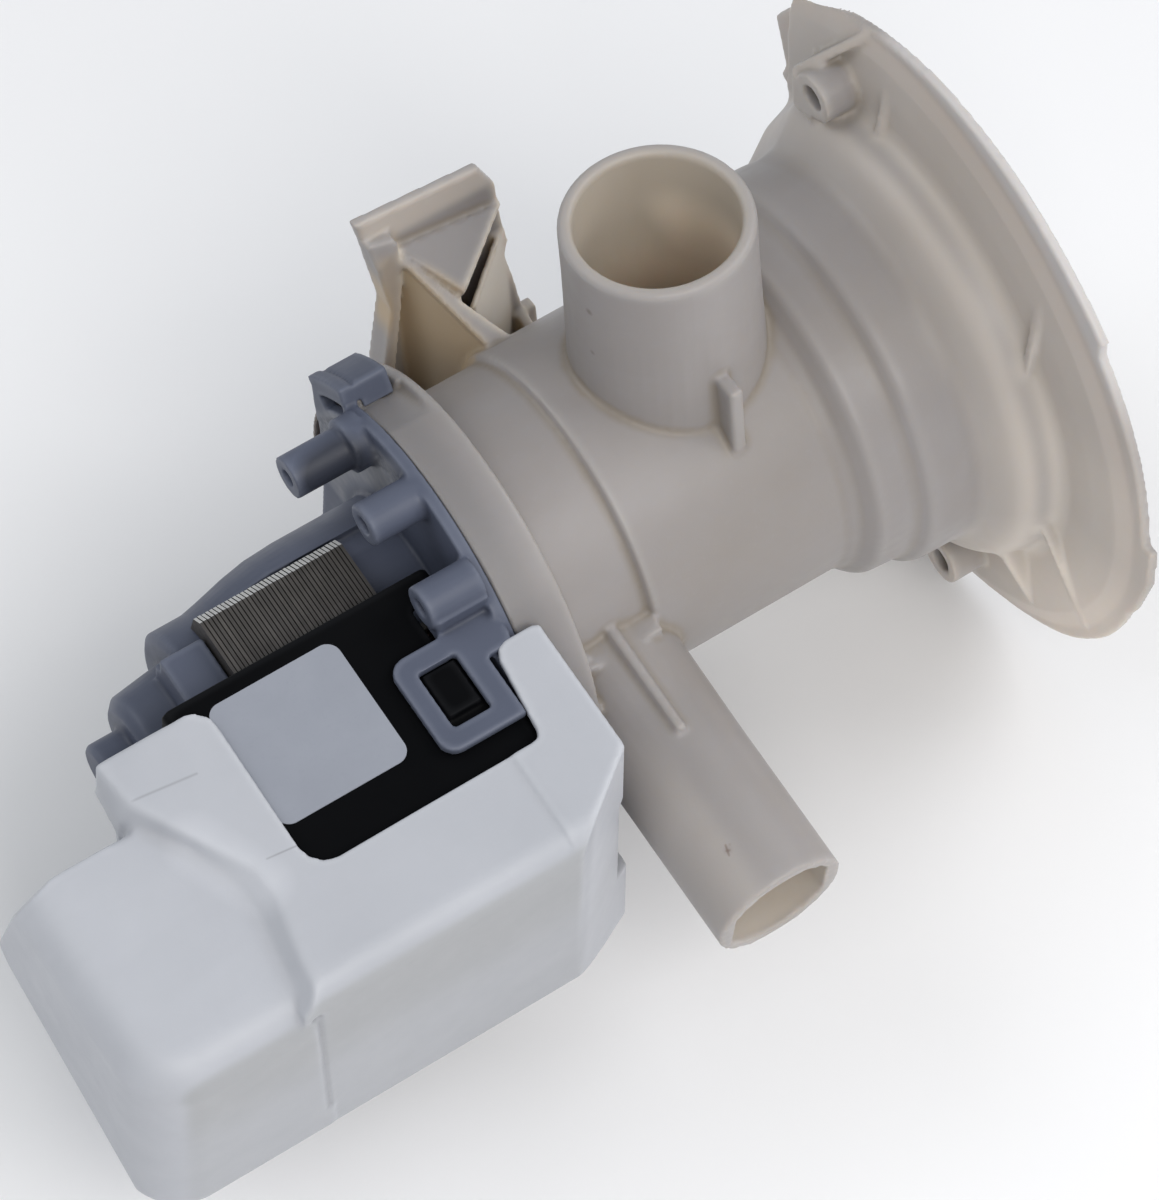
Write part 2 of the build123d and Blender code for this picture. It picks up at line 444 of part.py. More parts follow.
# ---------------------------------------------------------------- rotor
mag = xcyl(MAGNET_R, MAGNET_X0, MAGNET_X1) - xcyl(SHAFT_R + 0.01, MAGNET_X0 - 1, MAGNET_X1 + 1)
mag = rounded(mag, mag.edges().filter_by(GeomType.CIRCLE).filter_by(lambda e: e.radius > 9), (0.8, 0.5))
nodes["rotor_magnet"] = only(mag)
shaft = xcyl(SHAFT_R, SHAFT_X0, SHAFT_X1)
nodes["rotor_shaft"] = chamfer(shaft.edges().filter_by(GeomType.CIRCLE), 0.4)
nodes["rear_bearing"] = only(xcyl(4.2, -91.4, -84.6) - xcyl(SHAFT_R + 0.05, -93, -82))
nodes["front_bearing"] = only(xcyl(4.2, -52.6, -46.8) - xcyl(SHAFT_R + 0.05, -54, -45))
nodes["rear_bearing_seat"] = only(xcyl(6.5, -91.6, -84.2) - xcyl(4.25, -93, -82))
nodes["front_bearing_seat"] = only(xcyl(6.5, -52.8, -46.6) - xcyl(4.25, -54, -45))
bp = turned([(-53.6, SHAFT_R + 0.6), (-53.6, CAN_BORE - GAP), (-44.6, CAN_BORE - GAP), (-44.6, 6.3), (-46.4, 6.3),
             (-46.4, 6.6), (-52.9, 6.6), (-52.9, SHAFT_R + 0.6)])
nodes["bearing_plate"] = only(bp)
nodes["shaft_seal"] = only(turned([(-46.3, 4.6), (-46.3, 6.2), (-44.7, 6.2), (-44.7, 3.4), (-43.6, SHAFT_R + 0.06),
                                   (-44.0, SHAFT_R + 0.06), (-45.2, 2.9), (-45.6, 4.6)]))

# driver dog on the shaft, with a lug that pushes the impeller round; rubber pads on its flanks
DOG_X0, DOG_X1 = -38.6, -32.2
dog = xcyl(3.9, DOG_X0, DOG_X1) + sector(3.5, 7.4, -10, 10, DOG_X0, DOG_X1)
dog -= xcyl(SHAFT_R + 0.01, DOG_X0 - 1, DOG_X1 + 1)
nodes["shaft_driver"] = only(dog)
pads = sector(4.2, 7.3, 10.6, 26, DOG_X0 + 0.2, DOG_X1 - 0.2) + sector(4.2, 7.3, -26, -10.6, DOG_X0 + 0.2, DOG_X1 - 0.2)
nodes["driver_pads"] = pads

# impeller: back disc, hub with the driver chamber, six straight blades
imp = xcyl(IMPELLER_R - 1.0, -41.6, -39.9)
imp += xcyl(9.4, -41.6, -30.6)
for i in range(6):
    a = 60 * i + 20
    blade = Rot(a, 0, 0) * (box(-41.6, -27.6, 7.8, IMPELLER_R, -0.8, 0.8)
                            - Pos(-27.6, IMPELLER_R, 0) * Rot(0, 0, 32) * Box(9, 7, 4))
    imp += blade
imp -= xcyl(7.7, -39.2, -30.0)
imp += sector(4.4, 8.6, 154, 206, -39.4, -31.6)
imp -= xcyl(9.6, -30.6, -25)
imp -= xcyl(SHAFT_R + 0.06, -43, -25)
nodes["impeller"] = only(imp)
cap_ = turned([(-31.4, SHAFT_R + 0.06), (-31.4, 7.6), (-30.6, 7.6), (-30.6, 9.4), (-29.4, 9.4), (-27.9, 7.0),
               (-27.4, 4.2), (-27.4, SHAFT_R + 0.06)])
nodes["impeller_cap"] = only(cap_)

# ---------------------------------------------------------------- filter
plug = turned([(14.6, 0), (14.6, 23.6), (16.0, 26.7), (17.8, 27.0), (17.8, 24.9), (21.0, 24.9), (21.0, 27.0),
               (23.6, 27.0), (24.8, 28.2), (37.0, 28.2), (37.6, 29.0), (40.6, 29.2), (41.2, 28.6), (41.2, 0)])
plug -= turned([(18.0, 0), (18.0, 21.5), (39.0, 25.5), (42.5, 27.0), (42.5, 0)])
plug += turned([(16.0, 0), (16.0, 22.0), (18.4, 22.0), (18.4, 0)])
for i in range(3):
    plug += Rot(120 * i, 0, 0) * sector(27.6, 29.15, 0, 34, 27.4, 30.2)
grip = box(17.0, 53.0, -3.6, 3.6, -24.6, 24.6)
grip = rounded(grip, [e for e in grip.edges() if e.center().X > 50], (2.4, 1.5))
grip -= box(15, 60, -5, 5, 25.3, 40)
plug += grip
plug = only(plug)
nodes["filter_plug"] = plug
bas = turned([(-15.5, 0), (-15.5, 20.0), (-13.6, 22.0), (14.5, 23.3), (14.5, 0)])
bas -= turned([(-13.9, 0), (-13.9, 18.6), (-12.6, 20.3), (12.9, 21.6), (12.9, 0)])
bas -= zcyl(13.2, 5, 30)
for i in range(9):
    a = 130 + 31 * i
    bas -= Rot(a, 0, 0) * box(-11.4, 10.6, 17, 25, -2.3, 2.3)
for r_, n in ((7.0, 5), (14.0, 10)):
    for i in range(n):
        a = 2 * math.pi * i / n
        bas -= xcyl(1.9, -17, -12, r_ * math.cos(a), r_ * math.sin(a))
nodes["filter_basket"] = only(bas)
nodes["filter_seal"] = Pos(19.4, 0, 0) * Rot(0, 90, 0) * Torus(26.15, 1.15)

# ---------------------------------------------------------------- write out
for name, shape in nodes.items():
    moved = HOME * shape
    sol = moved.solids()
    if len(sol) == 1:
        moved = sol[0]
    else:
        moved = Compound(children=list(sol))
    export_step(moved, "parts/%s.step" % name)
    bb = moved.bounding_box()
    print("%-20s solids %d vol %8.1f  x %.1f..%.1f y %.1f..%.1f z %.1f..%.1f" % (
        name, len(sol), moved.volume, bb.min.X, bb.max.X, bb.min.Y, bb.max.Y, bb.min.Z, bb.max.Z))
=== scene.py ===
import json
import math

import bmesh
import bpy
import numpy as np
from mathutils import Matrix, Vector

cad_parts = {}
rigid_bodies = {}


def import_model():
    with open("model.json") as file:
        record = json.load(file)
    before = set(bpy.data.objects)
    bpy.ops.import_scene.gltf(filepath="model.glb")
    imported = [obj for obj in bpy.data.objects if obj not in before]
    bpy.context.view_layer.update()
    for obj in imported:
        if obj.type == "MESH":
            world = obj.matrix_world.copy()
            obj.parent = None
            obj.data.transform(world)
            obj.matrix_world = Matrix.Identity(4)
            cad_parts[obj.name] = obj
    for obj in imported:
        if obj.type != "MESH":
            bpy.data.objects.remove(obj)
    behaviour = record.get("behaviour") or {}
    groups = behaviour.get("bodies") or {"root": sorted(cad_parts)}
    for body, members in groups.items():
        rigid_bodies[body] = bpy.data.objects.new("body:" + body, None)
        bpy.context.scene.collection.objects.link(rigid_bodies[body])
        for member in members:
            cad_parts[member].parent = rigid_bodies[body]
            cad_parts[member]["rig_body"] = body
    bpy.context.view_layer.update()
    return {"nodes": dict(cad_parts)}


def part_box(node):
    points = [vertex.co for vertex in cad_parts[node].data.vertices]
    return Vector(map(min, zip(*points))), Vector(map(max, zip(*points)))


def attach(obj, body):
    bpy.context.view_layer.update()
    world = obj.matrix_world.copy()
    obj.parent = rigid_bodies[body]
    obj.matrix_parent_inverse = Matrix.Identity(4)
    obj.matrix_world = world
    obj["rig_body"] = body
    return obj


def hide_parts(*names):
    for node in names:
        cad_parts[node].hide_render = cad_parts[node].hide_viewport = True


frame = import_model()
scene = bpy.context.scene

# ------------------------------------------------------------------ camera
# long lens, standing 870 mm from the pump; the picture is 1159 x 1200
CAM_AT = Vector((-0.303285, -0.444040, 0.677302))
RIGHT = Vector((0.834974904, -0.546742097, -0.062369769))
DOWN = Vector((-0.475858706, -0.660466779, -0.58081161))
AHEAD = Vector((0.276360997, 0.514642316, -0.811645173))
cam_data = bpy.data.cameras.new("camera")
cam_data.sensor_width = 36.0
cam_data.lens = 5699.473 * 36.0 / 1200.0
cam_data.clip_start, cam_data.clip_end = 0.01, 20.0
cam = bpy.data.objects.new("camera", cam_data)
scene.collection.objects.link(cam)
m = Matrix((( RIGHT.x, -DOWN.x, -AHEAD.x, CAM_AT.x),
            ( RIGHT.y, -DOWN.y, -AHEAD.y, CAM_AT.y),
            ( RIGHT.z, -DOWN.z, -AHEAD.z, CAM_AT.z),
            (0, 0, 0, 1)))
cam.matrix_world = m
scene.camera = cam

# motor frame: x along the pump, u towards the outlet, v square to both
TILT = math.radians(12.0)
CT, ST = math.cos(TILT), math.sin(TILT)


def uv(x, u, v):
    """row-frame point in metres from motor-frame millimetres (x in the row frame)"""
    return Vector((x, -u * CT - v * ST, -u * ST + v * CT)) * 0.001


# ------------------------------------------------------------------ node helpers
class Mat:
    def __init__(self, name):
        self.m = bpy.data.materials.new(name)
        self.m.use_nodes = True
        self.t = self.m.node_tree
        self.t.nodes.clear()
        self.out = self.t.nodes.new("ShaderNodeOutputMaterial")
        self.b = self.t.nodes.new("ShaderNodeBsdfPrincipled")
        self.t.links.new(self.b.outputs[0], self.out.inputs["Surface"])
        self.coord = self.t.nodes.new("ShaderNodeTexCoord")

    def link(self, a, b):
        self.t.links.new(a, b)

    def set(self, **kw):
        for k, v in kw.items():
            self.b.inputs[k.replace("_", " ")].default_value = v

    def noise(self, scale, detail=3.0, rough=0.5, distort=0.0, vec=None):
        n = self.t.nodes.new("ShaderNodeTexNoise")
        n.inputs["Scale"].default_value = scale
        n.inputs["Detail"].default_value = detail
        n.inputs["Roughness"].default_value = rough
        n.inputs["Distortion"].default_value = distort
        self.link(vec if vec is not None else self.coord.outputs["Object"], n.inputs["Vector"])
        return n.outputs["Fac"]

    def voronoi(self, scale, feature="F1", vec=None):
        n = self.t.nodes.new("ShaderNodeTexVoronoi")
        n.feature = feature
        n.inputs["Scale"].default_value = scale
        self.link(vec if vec is not None else self.coord.outputs["Object"], n.inputs["Vector"])
        return n.outputs["Distance"]

    def wave(self, scale, vec, direction="X", distort=0.0, detail=2.0, dscale=1.0):
        n = self.t.nodes.new("ShaderNodeTexWave")
        n.bands_direction = direction
        n.inputs["Scale"].default_value = scale
        n.inputs["Distortion"].default_value = distort
        n.inputs["Detail"].default_value = detail
        n.inputs["Detail Scale"].default_value = dscale
        self.link(vec, n.inputs["Vector"])
        return n.outputs["Fac"]

    def mapping(self, rot=(0, 0, 0), scale=(1, 1, 1), loc=(0, 0, 0)):
        n = self.t.nodes.new("ShaderNodeMapping")
        n.inputs["Rotation"].default_value = rot
        n.inputs["Scale"].default_value = scale
        n.inputs["Location"].default_value = loc
        self.link(self.coord.outputs["Object"], n.inputs["Vector"])
        return n.outputs["Vector"]

    def attr(self, name):
        n = self.t.nodes.new("ShaderNodeAttribute")
        n.attribute_name = name
        return n.outputs["Fac"]

    def ramp(self, fac, stops, interp="LINEAR"):
        n = self.t.nodes.new("ShaderNodeValToRGB")
        n.color_ramp.interpolation = interp
        e = n.color_ramp.elements
        while len(e) < len(stops):
            e.new(0.5)
        for el, (p, c) in zip(e, stops):
            el.position = p
            el.color = (*c, 1) if len(c) == 3 else c
        self.link(fac, n.inputs["Fac"])
        return n.outputs["Color"]

    def ranged(self, fac, a, b, lo, hi):
        n = self.t.nodes.new("ShaderNodeMapRange")
        n.clamp = True
        n.inputs["From Min"].default_value = a
        n.inputs["From Max"].default_value = b
        n.inputs["To Min"].default_value = lo
        n.inputs["To Max"].default_value = hi
        self.link(fac, n.inputs["Value"])
        return n.outputs["Result"]

    def math(self, op, a, b):
        n = self.t.nodes.new("ShaderNodeMath")
        n.operation = op
        for i, v in enumerate((a, b)):
            if isinstance(v, (int, float)):
                n.inputs[i].default_value = v
            else:
                self.link(v, n.inputs[i])
        return n.outputs[0]

    def mix(self, fac, a, b, blend="MIX"):
        n = self.t.nodes.new("ShaderNodeMix")
        n.data_type = "RGBA"
        n.blend_type = blend
        for sock, v in ((n.inputs["Factor"], fac), (n.inputs[6], a), (n.inputs[7], b)):
            if isinstance(v, (int, float)):
                sock.default_value = v
            elif isinstance(v, tuple):
                sock.default_value = (*v, 1) if len(v) == 3 else v
            else:
                self.link(v, sock)
        return n.outputs[2]

    def bump(self, height, distance, strength=1.0, after=None):
        n = self.t.nodes.new("ShaderNodeBump")
        n.inputs["Distance"].default_value = distance
        n.inputs["Strength"].default_value = strength
        self.link(height, n.inputs["Height"])
        if after is not None:
            self.link(after, n.inputs["Normal"])
        return n.outputs["Normal"]

    def vmath(self, op, a, b=None, scale=None):
        n = self.t.nodes.new("ShaderNodeVectorMath")
        n.operation = op
        for i, v in enumerate((a, b)):
            if v is None:
                continue
            if isinstance(v, (tuple, list, Vector)):
                n.inputs[i].default_value = tuple(v)
            else:
                self.link(v, n.inputs[i])
        if scale is not None:
            self.link(scale, n.inputs["Scale"])
        return n.outputs["Value"] if op in ("DOT_PRODUCT", "LENGTH", "DISTANCE") else n.outputs["Vector"]

    def spot(self, at):
        """distance from one point"""
        return self.vmath("DISTANCE", self.coord.outputs["Object"], at)

    def segment(self, a, b):
        """distance from a straight line between two points"""
        a, b = Vector(a), Vector(b)
        d = b - a
        rel = self.vmath("SUBTRACT", self.coord.outputs["Object"], a)
        t = self.ranged(self.vmath("DOT_PRODUCT", rel, d / d.length_squared), 0.0, 1.0, 0.0, 1.0)
        along = self.vmath("SCALE", d, None, t)
        return self.vmath("LENGTH", self.vmath("SUBTRACT", rel, along))

    def plug(self, color=None, rough=None, normal=None):
        if color is not None:
            self.link(color, self.b.inputs["Base Color"])
        if rough is not None:
            self.link(rough, self.b.inputs["Roughness"])
        if normal is not None:
            self.link(normal, self.b.inputs["Normal"])
        return self.m


def moulded(name, base, dark, light, rough=(0.34, 0.46), grain=2600.0, grain_h=0.00001, flow_h=0.00006, sss=0.0,
            sss_radius=(1.0, 0.8, 0.6), sss_scale=0.002, crease_shade=None, edge=None, coat=0.0, zones=(), marks_and_light=(), spec=0.5):
    """injection-moulded plastic: flow clouds, faint grain, paler convex edges and painted shade darkening concave
    corners; zones and marks may paint light or shade as well
    """
    k = Mat(name)
    cloud = k.noise(26.0, 4.0, 0.55, 0.3)
    streak = k.noise(70.0, 5.0, 0.6, 1.2, k.mapping(scale=(0.35, 1.0, 1.0)))
    fleck = k.noise(900.0, 2.0, 0.5)
    c = k.ramp(cloud, [(0.30, dark), (0.52, base), (0.75, light)])
    c = k.mix(k.ranged(streak, 0.35, 0.75, 0.0, 0.35), c, dark)
    c = k.mix(k.ranged(fleck, 0.62, 0.80, 0.0, 0.18), c, light)
    ed = k.attr("edge")
    crease_shade_fac = k.attr("crease_shade")
    c = k.mix(k.ranged(ed, 0.15, 0.9, 0.0, 0.55), c, edge or light)
    # painted shade: concave corners pulled towards the crease colour
    c = k.mix(k.ranged(crease_shade_fac, 0.10, 0.9, 0.0, 0.75), c, crease_shade or dark)
    for zone, tint in zones:
        c = k.mix(k.ranged(k.attr(zone), 0.0, 1.0, 0.0, 0.94), c, tint)
    for where, near, far, amount, tint in marks_and_light:
        dist = k.segment(*where) if len(where) == 2 else k.spot(where[0])
        c = k.mix(k.ranged(dist, near, far, amount, 0.0), c, tint)
    r = k.ranged(k.noise(140.0, 4.0, 0.6), 0.3, 0.7, rough[0], rough[1])
    nrm = k.bump(k.noise(45.0, 3.0, 0.5), flow_h)
    nrm = k.bump(k.noise(grain, 3.0, 0.6), grain_h, 1.0, nrm)
    k.set(IOR=1.49, Specular_IOR_Level=spec)
    if sss:
        k.set(Subsurface_Weight=sss, Subsurface_Radius=sss_radius, Subsurface_Scale=sss_scale)
    if coat:
        k.set(Coat_Weight=coat, Coat_Roughness=0.12)
    return k.plug(c, r, nrm)


def metal(name, base, dark, light, rough=(0.25, 0.42), line=None, metallic=1.0):
    k = Mat(name)
    c = k.ramp(k.noise(160.0, 4.0, 0.6, 0.5), [(0.3, dark), (0.55, base), (0.8, light)])
    r = k.ranged(k.noise(420.0, 4.0, 0.6), 0.3, 0.7, rough[0], rough[1])
    nrm = k.bump(k.noise(1800.0, 3.0, 0.6, 0.0, k.mapping(scale=line or (1, 1, 1))), 0.00002)
    k.set(Metallic=metallic)
    return k.plug(c, r, nrm)


BROWN = (0.10, 0.075, 0.055)
SCORCH = (0.13, 0.065, 0.035)
CREAM_MARKS_AND_LIGHT = (
    (((-0.05995, -0.00292, 0.04646),), 0.0002, 0.0008, 0.55, BROWN),
    (((-0.05995, -0.00293, 0.03729),), 0.0001, 0.0006, 0.45, BROWN),
    (((-0.0790, -0.0612, -0.0034), (-0.0776, -0.0617, -0.0037)), 0.00006, 0.00028, 0.75, SCORCH),
    (((-0.0786, -0.0621, -0.0037), (-0.0781, -0.0606, -0.0034)), 0.00006, 0.00026, 0.75, SCORCH),
    (((-0.0775, -0.0609, -0.0034),), 0.0001, 0.0004, 0.60, SCORCH),
    (((-0.07824, -0.06137, -0.00353),), 0.0001, 0.0009, 0.30, BROWN),
    # painted light: the outlet's end made paler, and a warm pool of painted light on the lower flange
    (((-0.0738, -0.0675, -0.0143),), 0.006, 0.034, 0.30, (0.46, 0.435, 0.425)),
    (((-0.0030, -0.0420, -0.0340),), 0.010, 0.030, 0.55, (0.80, 0.72, 0.63)))
# painted light where thin walls let light through and on lit faces, warm painted bounce light where walls stand close
# together (bores, far walls of the pockets), warm painted shade in the bracket pockets, painted shade at the rear of
# the chamber, and a paler upper rim
CREAM_ZONES = (("shade", (0.195, 0.186, 0.187)), ("thin", (0.55, 0.50, 0.45)), ("bore", (0.45, 0.40, 0.335)),
               ("deep", (0.90, 0.80, 0.66)), ("pocket", (0.46, 0.355, 0.23)), ("rim", (0.52, 0.505, 0.50)))
CREAM = moulded("cream_moulding", (0.303, 0.284, 0.280), (0.280, 0.256, 0.240), (0.325, 0.310, 0.308), rough=(0.36, 0.48), sss=0.35,
                sss_radius=(1.0, 0.72, 0.45), sss_scale=0.0022, crease_shade=(0.245, 0.208, 0.165), edge=(0.35, 0.335, 0.328),
                zones=CREAM_ZONES, marks_and_light=CREAM_MARKS_AND_LIGHT, spec=0.4)
# the grey's mark is a painted shadow darkening the left post where the hook shades it
GREY = moulded("grey_moulding", (0.080, 0.092, 0.132), (0.066, 0.077, 0.111), (0.094, 0.107, 0.152), rough=(0.42, 0.55),
               crease_shade=(0.045, 0.051, 0.074), edge=(0.13, 0.145, 0.19), spec=0.35, zones=(("pale", (0.24, 0.245, 0.262)),),
                marks_and_light=((((-0.1000, 0.0070, 0.0287), (-0.0968, 0.0073, 0.0288)), 0.0028, 0.0050, 0.90, (0.022, 0.025, 0.036)),))


def seam(a, b):
    return (uv(*a), uv(*b))


LINE = (0.26, 0.265, 0.285)
WHITE_MARKS_AND_LIGHT = (
    (seam((-150.5, 16.0, 26.7), (-140.0, 17.3, 26.7)), 0.00004, 0.00030, 0.55, LINE),
    (seam((-138.5, 33.4, 26.7), (-133.2, 34.0, 26.7)), 0.00004, 0.00022, 0.70, LINE),
    # painted shadow line along the hood's step
    (((-0.1437, -0.0588, 0.0085), (-0.1415, -0.0516, -0.0265)), 0.0003, 0.0010, 0.45, LINE),
    # painted shade in the pit at the top of the step
    (((-0.1440, -0.0586, 0.0090),), 0.0003, 0.0011, 0.70, (0.12, 0.12, 0.13)),
    # painted light along the valley in the cover's top
    (((-0.1455, -0.0300, 0.0190), (-0.1409, -0.0410, 0.0175)), 0.0010, 0.0050, 0.60, (0.56, 0.575, 0.615)),
    ((uv(-91.3, 51.4, 1.0),), 0.0001, 0.0006, 0.8, (0.06, 0.06, 0.08)))
WHITE = moulded("white_moulding", (0.432, 0.446, 0.482), (0.402, 0.416, 0.450), (0.458, 0.473, 0.510), rough=(0.38, 0.50), sss=0.15,
                sss_radius=(1.0, 0.95, 0.9), sss_scale=0.0012, crease_shade=(0.385, 0.392, 0.42), edge=(0.485, 0.50, 0.535), marks_and_light=WHITE_MARKS_AND_LIGHT,
                zones=(("front", (0.350, 0.357, 0.369)), ("lift", (0.53, 0.545, 0.585))), spec=0.4)
BLACK = moulded("black_moulding", (0.0028, 0.0030, 0.0036), (0.0018, 0.0020, 0.0026), (0.0042, 0.0045, 0.0052), rough=(0.40, 0.52),
                crease_shade=(0.002, 0.002, 0.0025), edge=(0.010, 0.0105, 0.012), spec=0.04)
FILTER = moulded("filter_plastic", (0.50, 0.51, 0.51), (0.44, 0.45, 0.45), (0.56, 0.57, 0.57), crease_shade=(0.33, 0.33, 0.32),
                 edge=(0.60, 0.61, 0.61))
WHEEL = moulded("impeller_plastic", (0.46, 0.47, 0.46), (0.40, 0.41, 0.40), (0.52, 0.53, 0.52), crease_shade=(0.32, 0.32, 0.31),
                edge=(0.56, 0.57, 0.56))
# the bobbin's mark is painted shade, near black, where it shows through the gap in the cover
BOBBIN = moulded("bobbin_plastic", (0.58, 0.54, 0.44), (0.52, 0.48, 0.38), (0.64, 0.60, 0.50), crease_shade=(0.4, 0.36, 0.28),
                 edge=(0.66, 0.62, 0.54), marks_and_light=(((uv(-98.0, 15.0, 23.6),), 0.0045, 0.0065, 0.97, (0.006, 0.006, 0.007)),))


def sheet_steel():
    """punched edges of the sheets: every sheet has its own tone"""
    k = Mat("core_steel")
    sep = k.t.nodes.new("ShaderNodeSeparateXYZ")
    k.link(k.coord.outputs["Object"], sep.inputs[0])
    rnd = k.t.nodes.new("ShaderNodeTexWhiteNoise")
    rnd.noise_dimensions = "1D"
    k.link(k.math("FLOOR", k.math("MULTIPLY", k.math("ADD", sep.outputs["X"], 0.1256), 37.0 / 0.0241), 0.0), rnd.inputs["W"])
    c = k.ramp(k.noise(220.0, 4.0, 0.6, 0.5), [(0.3, (0.062, 0.057, 0.053)), (0.55, (0.086, 0.079, 0.074)), (0.8, (0.115, 0.108, 0.102))])
    c = k.mix(k.ranged(rnd.outputs["Value"], 0.0, 1.0, 0.0, 0.6), c, (0.040, 0.037, 0.036))
    k.set(Metallic=0.45)
    return k.plug(c, k.ranged(k.noise(500.0, 4.0, 0.6), 0.3, 0.7, 0.45, 0.62), k.bump(k.noise(2500.0, 3.0, 0.6), 0.00002))


STEEL = sheet_steel()
# bare cut steel on the poles' chamfer, its pale colour a painted highlight
CUT_STEEL_HIGHLIGHT = metal("core_chamfer_highlight", (0.50, 0.50, 0.49), (0.40, 0.40, 0.39), (0.62, 0.62, 0.61), rough=(0.42, 0.56), metallic=0.15)
SHAFT = metal("shaft_steel", (0.62, 0.62, 0.63), (0.55, 0.55, 0.56), (0.70, 0.70, 0.71), rough=(0.16, 0.30), line=(1, 8, 8))
TIN = metal("terminal_metal", (0.72, 0.68, 0.58), (0.62, 0.57, 0.46), (0.80, 0.77, 0.70), rough=(0.22, 0.36), line=(4, 1, 4))
BRONZE = metal("bearing_bronze", (0.50, 0.33, 0.16), (0.38, 0.24, 0.11), (0.60, 0.42, 0.23), rough=(0.38, 0.55))


def rubber():
    k = Mat("black_rubber")
    c = k.ramp(k.noise(120.0, 4.0, 0.6), [(0.3, (0.012, 0.012, 0.012)), (0.6, (0.022, 0.022, 0.022)), (0.85, (0.035, 0.035, 0.034))])
    r = k.ranged(k.noise(300.0, 3.0, 0.6), 0.3, 0.7, 0.48, 0.66)
    return k.plug(c, r, k.bump(k.noise(1500.0, 3.0, 0.6), 0.00002))


def ferrite():
    k = Mat("magnet_ferrite")
    c = k.ramp(k.noise(400.0, 6.0, 0.7), [(0.3, (0.020, 0.020, 0.022)), (0.6, (0.035, 0.035, 0.038)), (0.85, (0.06, 0.06, 0.064))])
    r = k.ranged(k.noise(600.0, 3.0, 0.6), 0.3, 0.7, 0.45, 0.7)
    k.set(Metallic=0.3)
    return k.plug(c, r, k.bump(k.noise(2200.0, 5.0, 0.7), 0.00004))


def copper():
    k = Mat("copper_wire")
    vec = k.mapping(rot=(TILT, 0, 0))
    w = k.wave(520.0, vec, "Y", 0.4, 2.0, 3.0)
    c = k.ramp(k.noise(300.0, 4.0, 0.6), [(0.3, (0.36, 0.12, 0.035)), (0.6, (0.52, 0.19, 0.06)), (0.85, (0.66, 0.28, 0.10))])
    c = k.mix(k.ranged(w, 0.0, 0.35, 0.6, 0.0), c, (0.10, 0.03, 0.01))
    # painted shade, near black, where the cover leaves the coil bare
    c = k.mix(k.ranged(k.spot(tuple(uv(-98.0, 15.0, 23.6))), 0.0040, 0.0060, 0.97, 0.0), c, (0.006, 0.006, 0.007))
    k.set(Metallic=0.85)
    return k.plug(c, k.ranged(k.noise(500.0), 0.3, 0.7, 0.22, 0.38), k.bump(w, 0.00012))


def sticker():
    k = Mat("label_film")
    c = k.ramp(k.noise(60.0, 4.0, 0.6), [(0.3, (0.243, 0.259, 0.300)), (0.55, (0.260, 0.277, 0.320)), (0.8, (0.282, 0.298, 0.340))])
    c = k.mix(k.ranged(k.noise(1400.0, 3.0, 0.7), 0.55, 0.75, 0.0, 0.25), c, (0.222, 0.237, 0.276))
    nrm = k.bump(k.noise(90.0, 3.0, 0.5), 0.00005)
    nrm = k.bump(k.noise(2400.0, 3.0, 0.6), 0.000008, 1.0, nrm)
    return k.plug(c, k.ranged(k.noise(200.0), 0.3, 0.7, 0.38, 0.50), nrm)


RUBBER, FERRITE, COPPER, STICKER = rubber(), ferrite(), copper(), sticker()
BY_NODE = {
    "pump_housing": CREAM, "motor_bracket": GREY, "chamber_seal": RUBBER, "stator_core": STEEL, "upper_bobbin": BOBBIN,
    "lower_bobbin": BOBBIN, "upper_winding": COPPER, "lower_winding": COPPER, "coil_cover": BLACK, "label": STICKER,
    "live_terminal": TIN, "neutral_terminal": TIN, "terminal_cover": WHITE, "rotor_magnet": FERRITE, "rotor_shaft": SHAFT,
    "rear_bearing": BRONZE, "front_bearing": BRONZE, "rear_bearing_seat": RUBBER, "front_bearing_seat": RUBBER,
    "bearing_plate": GREY, "shaft_seal": RUBBER, "shaft_driver": WHEEL, "driver_pads": RUBBER, "impeller": WHEEL,
    "impeller_cap": WHEEL, "filter_plug": FILTER, "filter_basket": FILTER, "filter_seal": RUBBER}
for name, obj in frame["nodes"].items():
    obj.data.materials.clear()
    obj.data.materials.append(BY_NODE[name])


# ------------------------------------------------------------------ soft-edged mouldings
def neighbours(me):
    n = len(me.vertices)
    e = np.zeros(len(me.edges) * 2, np.int64)
    me.edges.foreach_get("vertices", e)
    e = e.reshape(-1, 2)
    deg = np.bincount(e.ravel(), minlength=n).astype(float)
    return e, np.maximum(deg, 1.0)


def average(p, e, deg):
    out = np.zeros_like(p)
    for c in range(p.shape[1]):
        out[:, c] = np.bincount(e[:, 0], weights=p[e[:, 1], c], minlength=len(p)) + np.bincount(
            e[:, 1], weights=p[e[:, 0], c], minlength=len(p))
    return out / deg[:, None]


def vertex_normals(me):
    n = np.zeros(len(me.vertices) * 3, np.float32)
    me.vertex_normals.foreach_get("vector", n)
    return n.reshape(-1, 3).astype(float)


def get_co(me):
    p = np.zeros(len(me.vertices) * 3, np.float32)
    me.vertices.foreach_get("co", p)
    return p.reshape(-1, 3).astype(float)


def set_co(me, p):
    me.vertices.foreach_set("co", p.astype(np.float32).ravel())
    me.update()


